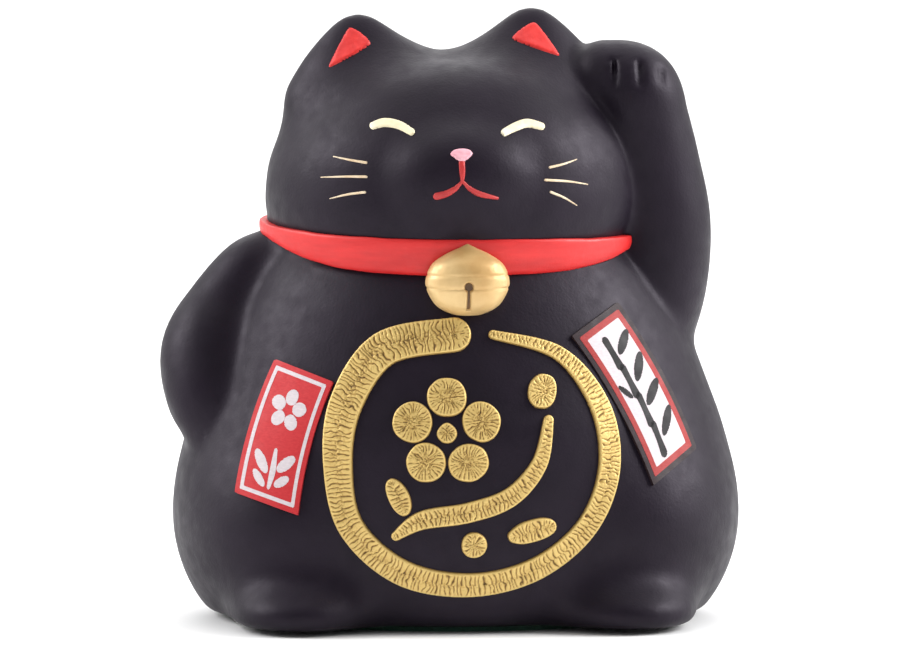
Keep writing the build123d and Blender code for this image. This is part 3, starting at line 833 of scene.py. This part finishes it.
# ---- collar -------------------------------------------------------------------------------------------------
COLLAR_CENTRE_Z, COLLAR_RADII = 104.0, (50.3, 45.75, 31.7)
COLLAR_LOW = [(-60, 90), (-46, 92.5), (-38, 93.3), (-30, 95), (-14, 99.6), (0, 101.2), (30, 101.8),
              (60, 102)]
COLLAR_TOP = [(-60, 102), (0, 104.6), (60, 105.3)]
COLLAR_DEPTH = 7.0
COLLAR_X, COLLAR_Y = -1.3, -0.85
COLLAR_SAG, SAG_REACH = (1.3, 2.6), 46.0      # drop of its lower and upper edges towards the raised arm
COLLAR_WAVER = 0.12
# Its section: share of the height from the lower edge up, and depth below its outside.
COLLAR_SECTION = [(0, COLLAR_DEPTH), (0, 1.0), (0.004, 0.45), (0.03, 0.12), (0.1, 0.0), (0.3, -0.1),
                  (0.5, -0.12), (0.7, -0.1), (0.9, 0.0), (0.97, 0.12), (0.996, 0.45), (1, 1.0),
                  (1, COLLAR_DEPTH)]

low_edge = smooth_line(COLLAR_LOW)
top_edge = np.array(COLLAR_TOP, float)
around = np.linspace(0, 2 * math.pi, 360, endpoint=False)
loop = []
for share, depth in COLLAR_SECTION:
    y = -COLLAR_RADII[1] * np.cos(around)
    z = 0
    for _ in range(4):
        low_z = np.interp(y, low_edge[:, 0], low_edge[:, 1])
        z = low_z + share * (np.interp(y, top_edge[:, 0], top_edge[:, 1]) - low_z)
        slim = np.sqrt(1 - ((z - COLLAR_CENTRE_Z) / COLLAR_RADII[2]) ** 2)
        y = -(COLLAR_RADII[1] * slim - depth) * np.cos(around)
    waver = COLLAR_WAVER * noise(around * 9, around * 0 + share * 3, 4)
    x = (COLLAR_RADII[0] * slim - depth) * np.sin(around)
    sag = (COLLAR_SAG[0] + share * (COLLAR_SAG[1] - COLLAR_SAG[0])) * (np.maximum(x, 0) / SAG_REACH) ** 2
    loop.append(np.stack([x + COLLAR_X, y + COLLAR_Y, z + waver - sag], 1))
add_mesh("collar", np.concatenate(loop), wrapped(len(loop), len(around), True), RED, ["collar_band"])


# ---- bell ---------------------------------------------------------------------------------------------------
BELL_PROFILE = [(0, -9.2), (4, -8.9), (8.4, -6.6), (11, -2.4), (11.3, 1), (9.6, 4.8), (6, 7.4), (2.6, 9),
                (0.4, 10.1), (0, 10.2)]
BELL_SCALE = 0.96
BELL_DEPTH_RATIO = 0.68
BELL_SLOT_HALF_W, BELL_SLOT_Z, BELL_HOLE_R, BELL_SLOT_DEPTH = 0.5, (-7.5, -1.0), 1.3, 1.2
BELL_BANDS, BAND_DEPTH, BAND_W = (1.9, -1.6), 0.22, 0.42      # pressed lines round it
BELL_SHIFT_X, BELL_Y, BELL_Z = 0.4, -46.5, 91.7
SLOT_EDGE = 0.35
SLIT_Z, SLIT_EYE_R, SLIT_T, SLIT_LIFT, SLIT_CELL = (-7.4, -2.2), 1.2, 0.4, 0.15, 0.2

bell_low, bell_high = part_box("bell")
bell_centre = np.array([(bell_low[0] + bell_high[0]) / 2 / MM + BELL_SHIFT_X, BELL_Y, BELL_Z])
profile = smooth_line(BELL_PROFILE, 24)
profile[:, 0] = np.maximum(profile[:, 0], 0)
spin = np.linspace(0, 2 * math.pi, 300, endpoint=False)
r, h = profile[:, 0][:, None], profile[:, 1][:, None] + 0 * spin
x, y = r * np.sin(spin), -r * BELL_DEPTH_RATIO * np.cos(spin)
dent = sum(BAND_DEPTH * np.exp(-((h - band) / BAND_W) ** 2) for band in BELL_BANDS)
slot = np.maximum(np.abs(x) - BELL_SLOT_HALF_W, np.maximum(BELL_SLOT_Z[0] - h, h - BELL_SLOT_Z[1]))
slot = np.minimum(slot, np.hypot(x, h - BELL_SLOT_Z[1]) - BELL_HOLE_R)
dent = dent + np.where(y < 0, BELL_SLOT_DEPTH * np.clip(0.5 - slot / SLOT_EDGE, 0, 1), 0)
out = np.stack([x, y / BELL_DEPTH_RATIO ** 2, h * 0.9], -1)
out /= np.maximum(np.linalg.norm(out, axis=-1, keepdims=True), 1e-6)
shape = np.stack([x, y, h], -1) - out * dent[..., None]
faces = wrapped(*shape.shape[:2])
add_mesh("jingle_bell", shape.reshape(-1, 3) * BELL_SCALE + bell_centre, faces, BELL, ["bell"])
# a thin dark brown sheet laid just above the bottom of the slit recess, darker than the gold round it
slit = np.array([(side * BELL_SLOT_HALF_W, z) for side, z in zip((-1, 1, 1, -1), np.repeat(SLIT_Z, 2))])
slit_eye = blob_outline((0, BELL_SLOT_Z[1]), (SLIT_EYE_R, SLIT_EYE_R))
for name, outline in (("slit", slit), ("slit_eye", slit_eye)):
    p, quads, _, _ = patch(outline, SLIT_CELL)
    half = np.interp(p[:, 1], profile[:, 1], profile[:, 0])
    shell_y = -BELL_DEPTH_RATIO * np.sqrt(np.maximum(half ** 2 - p[:, 0] ** 2, 0))
    flat = np.stack([p[:, 0], shell_y + BELL_SLOT_DEPTH - SLIT_LIFT, p[:, 1]], 1) * BELL_SCALE + bell_centre
    points, faces = slab(flat, flat + np.array([0, SLIT_T, 0]), quads)
    add_mesh(name, points, faces, SLIT_FILL, ["bell_slot"])


# ---- cards --------------------------------------------------------------------------------------------------
def camera_view(away):
    """The picture's plane, that many millimetres in front of what the camera aims at."""
    sin_a, cos_a = math.sin(CAMERA_AZIMUTH), math.cos(CAMERA_AZIMUTH)
    sin_e, cos_e = math.sin(CAMERA_ELEVATION), math.cos(CAMERA_ELEVATION)
    inward = np.array([-sin_a * cos_e, cos_a * cos_e, -sin_e])
    up = (-sin_a * sin_e, cos_a * sin_e, cos_e)
    return View(np.array(AIM) / MM - away * inward, (cos_a, sin_a, 0), up, inward)


CARD_VIEW_AWAY = 80
CARD_BITE = 0.4              # deepest that a card may reach into the body


class Card:
    """A thin card glued to the body, bent as far as a smooth sheet can follow it, and the print on it.

    Its corners are where the camera sees them: top left, top right, bottom right, bottom left. The bow moves
    its middle sideways in the same view.
    """

    def __init__(self, corners, half, bow):
        self.view = camera_view(CARD_VIEW_AWAY)
        self.corners = [np.array(c, float) for c in corners]
        self.half = half
        self.bow = np.array(bow, float)
        u, v = np.meshgrid(np.linspace(-half[0], half[0], 9), np.linspace(-half[1], half[1], 13))
        spots = np.stack([u.ravel(), v.ravel()], 1)
        depth = outside.hit(self.view.place(self.seen(spots)), self.view.inward)
        terms = self.terms(spots)
        self.bend = np.linalg.lstsq(terms, depth, rcond=None)[0]
        self.bend[0] -= max((terms @ self.bend - depth).max() - CARD_BITE, 0)

    def seen(self, p):
        """Where the camera sees a point of the card."""
        s = (p[:, :1] / self.half[0] + 1) / 2
        t = (p[:, 1:] / self.half[1] + 1) / 2
        top_left, top_right, low_right, low_left = self.corners
        return (t * ((1 - s) * top_left + s * top_right) + (1 - t) * ((1 - s) * low_left + s * low_right)
                + 4 * t * (1 - t) * self.bow)

    @staticmethod
    def terms(p):
        """Terms of the smooth sheet's depth."""
        u, v = p[:, 0], p[:, 1]
        return np.stack([np.ones(len(p)), u, v, u * u, u * v, v * v], 1)

    def sheet(self, p):
        """Points of the bent sheet itself."""
        return self.view.place(self.seen(p)) + (self.terms(p) @ self.bend)[:, None] * self.view.inward

    def surface(self, p, height):
        """Points that height above the sheet."""
        step = 0.5
        along_u = self.sheet(p + (step, 0)) - self.sheet(p - (step, 0))
        along_v = self.sheet(p + (0, step)) - self.sheet(p - (0, step))
        normal = np.cross(along_u, along_v)
        normal /= np.linalg.norm(normal, axis=1, keepdims=True)
        return self.sheet(p) + height * normal

    def layer(self, name, outline, heights, material, node, cell, hole=None):
        """A flat piece of the card between two heights."""
        p, quads, _, _ = patch(outline, cell, hole)
        low, high = heights
        points, faces = slab(self.surface(p, high), self.surface(p, low), quads)
        add_mesh(name, points, faces, material, [node], smooth=False)


LEFT_HALF, RIGHT_HALF = (9.9, 18.2), (10.2, 22.7)
FRAME_INSET, FRAME_W = 1.4, 1.05
EDGE_W, BORDER_W = 1.6, 1.8
CARD_T, PRINT_T = 0.6, 0.06
CARD_SINK, PRINT_SINK = 0.3, 0.05
BOARD_CELL, PANEL_CELL, BORDER_CELL, FRAME_CELL, MOTIF_CELL = 0.8, 0.5, 0.35, 0.3, 0.25

# Heights of the lower and the upper face of the card and of what is printed on it.
BOARD = (-CARD_SINK, CARD_T)
PRINT = (CARD_T - PRINT_SINK, CARD_T + PRINT_T)
OVERPRINT = (CARD_T, CARD_T + 2 * PRINT_T)

LEFT_BOW, RIGHT_BOW = (-1.3, 0.4), (1.4, 0.8)
LEFT_CORNERS = [(-45.4, -7.7), (-30.2, -13.5), (-39.4, -48.2), (-55.8, -42.4)]
LEFT_BLOSSOM, LEFT_PETAL_REACH, LEFT_PETAL_RADII = (0, 7), 3.5, (1.9, 2.2)
LEFT_LEAVES = [stroke_outline([(0, -14), (0.4, -9.5), (0, -4)], [0.5, 0.9, 0.5]),
               blob_outline((-3.6, -8), (1.5, 3.4), 42), blob_outline((3.9, -6.6), (1.5, 3.4), -42),
               blob_outline((-3.4, -12.4), (1.2, 2.6), 50), blob_outline((3.6, -11.4), (1.2, 2.6), -50)]
left = Card(LEFT_CORNERS, LEFT_HALF, LEFT_BOW)
left.layer("red_card", box_outline(*LEFT_HALF), BOARD, CARD_RED, "card_left_board", BOARD_CELL)
w, h = LEFT_HALF[0] - FRAME_INSET, LEFT_HALF[1] - FRAME_INSET
left.layer("red_card_line", box_outline(w, h), PRINT, PRINT_WHITE, "card_left_frame", FRAME_CELL,
           box_outline(w - FRAME_W, h - FRAME_W))
for i in range(5):
    outline = petal_outline(LEFT_BLOSSOM, 90 + 72 * i, LEFT_PETAL_REACH, LEFT_PETAL_RADII, i)
    left.layer(f"card_petal_{i + 1}", outline, PRINT, PRINT_WHITE, "card_left_blossom", MOTIF_CELL)
for i, outline in enumerate(LEFT_LEAVES, 1):
    left.layer(f"card_leaf_{i}", outline, PRINT, PRINT_WHITE, "card_left_leaves", MOTIF_CELL)

RIGHT_CORNERS = [(31.5, -1.6), (43.5, 7.2), (64.2, -31.1), (52.8, -40.6)]
BAMBOO_JOINT, BAMBOO_PITCH = [(-2.2, -17.5), (-1.95, -13.6), (-1.7, -9.8)], 8.7
BAMBOO_HALF_WIDTHS = [1.3, 1.0, 1.15]
RIGHT_LEAVES = [blob_outline((3.5, -11), (1.5, 4.4), -50), blob_outline((3.4, -2.4), (1.5, 4.4), -62),
                blob_outline((3.5, 5.4), (1.5, 4.4), -48), blob_outline((3.4, 13.2), (1.4, 4.2), -60),
                blob_outline((-5.2, 2), (0.9, 2.8), 28)]
right = Card(RIGHT_CORNERS, RIGHT_HALF, RIGHT_BOW)
right.layer("black_edged_card", box_outline(*RIGHT_HALF), BOARD, CARD_BLACK, "card_right_board", BOARD_CELL)
w, h = RIGHT_HALF[0] - EDGE_W, RIGHT_HALF[1] - EDGE_W
panel = box_outline(w - BORDER_W, h - BORDER_W)
right.layer("card_border", box_outline(w, h), PRINT, PRINT_RED, "card_right_border", BORDER_CELL, panel)
right.layer("card_panel", panel, PRINT, PRINT_WHITE, "card_right_panel", PANEL_CELL)
for i in range(4):
    outline = stroke_outline([(u, v + BAMBOO_PITCH * i) for u, v in BAMBOO_JOINT], BAMBOO_HALF_WIDTHS)
    right.layer(f"bamboo_{i + 1}", outline, OVERPRINT, INK, "card_right_stem", MOTIF_CELL)
for i, outline in enumerate(RIGHT_LEAVES, 1):
    right.layer(f"bamboo_leaf_{i}", outline, OVERPRINT, INK, "card_right_leaves", MOTIF_CELL)


# ---- pieces kept from the CAD -------------------------------------------------------------------------------
for name, paint in (("base_felt", felt_paint()), ("base_stopper", rubber_paint())):
    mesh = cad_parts[name].data
    mesh.materials.clear()
    mesh.materials.append(paint)


# ---- floor, light and camera --------------------------------------------------------------------------------
FLOOR_R = 6.0

turn = np.linspace(0, 2 * math.pi, 96, endpoint=False)
floor_mesh = bpy.data.meshes.new("floor")
floor_mesh.from_pydata([(FLOOR_R * math.cos(a), FLOOR_R * math.sin(a), 0) for a in turn], [], [list(range(96))])
floor_mesh.materials.append(floor_paint())
floor = bpy.data.objects.new("floor", floor_mesh)
bpy.context.scene.collection.objects.link(floor)


def softbox(name, place, aim, size, power):
    """Square area light that points at a spot."""
    data = bpy.data.lights.new(name, "AREA")
    data.size, data.energy = size, power
    lamp = bpy.data.objects.new(name, data)
    bpy.context.scene.collection.objects.link(lamp)
    lamp.location = place
    run = np.array(aim, float) - np.array(place, float)
    lamp.rotation_euler = (math.atan2(math.hypot(run[0], run[1]), -run[2]), 0, math.atan2(-run[0], run[1]))


softbox("light_left", (-0.9, 0.1, 0.62), (0, 0, 0.09), 0.6, 8.5)
softbox("light_right", (0.9, -0.05, 0.58), (0, 0, 0.1), 0.6, 13)
softbox("light_top", (0, 0.1, 1.1), (0, 0, 0.05), 0.8, 2.0)
softbox("light_back", (0, 1.9, 1.3), (0, 1.9, 0), 2.2, 26)

# The room is white behind and beside the figurine and dimmer in front of it; the fade runs along Y.
DIM, WHITE = 0.4, 1.0
FADE_START, FADE_END = -0.8, 0.25
world = bpy.data.worlds.new("studio")
world.use_nodes = True
room = world.node_tree
direction = room.nodes.new("ShaderNodeTexCoord").outputs["Generated"]
split = room.nodes.new("ShaderNodeSeparateXYZ")
fade = room.nodes.new("ShaderNodeMapRange")
fade.interpolation_type = "SMOOTHSTEP"
for key, value in (("From Min", FADE_START), ("From Max", FADE_END), ("To Min", DIM), ("To Max", WHITE)):
    fade.inputs[key].default_value = value
room.links.new(direction, split.inputs["Vector"])
room.links.new(split.outputs["Y"], fade.inputs["Value"])
room.links.new(fade.outputs["Result"], room.nodes["Background"].inputs["Strength"])
room.nodes["Background"].inputs["Color"].default_value = (1, 1, 1, 1)
bpy.context.scene.world = world
bpy.context.scene.view_settings.view_transform = "Standard"

camera_data = bpy.data.cameras.new("camera")
camera_data.sensor_fit, camera_data.sensor_width = "HORIZONTAL", 36.0
camera_data.lens = 36.0 * CAMERA_AWAY / PICTURE_WIDTH
camera = bpy.data.objects.new("camera", camera_data)
bpy.context.scene.collection.objects.link(camera)
flat = CAMERA_AWAY * math.cos(CAMERA_ELEVATION)
camera.location = (AIM[0] + flat * math.sin(CAMERA_AZIMUTH), AIM[1] - flat * math.cos(CAMERA_AZIMUTH),
                   AIM[2] + CAMERA_AWAY * math.sin(CAMERA_ELEVATION))
camera.rotation_euler = (math.pi / 2 - CAMERA_ELEVATION, 0, CAMERA_AZIMUTH)
bpy.context.scene.camera = camera
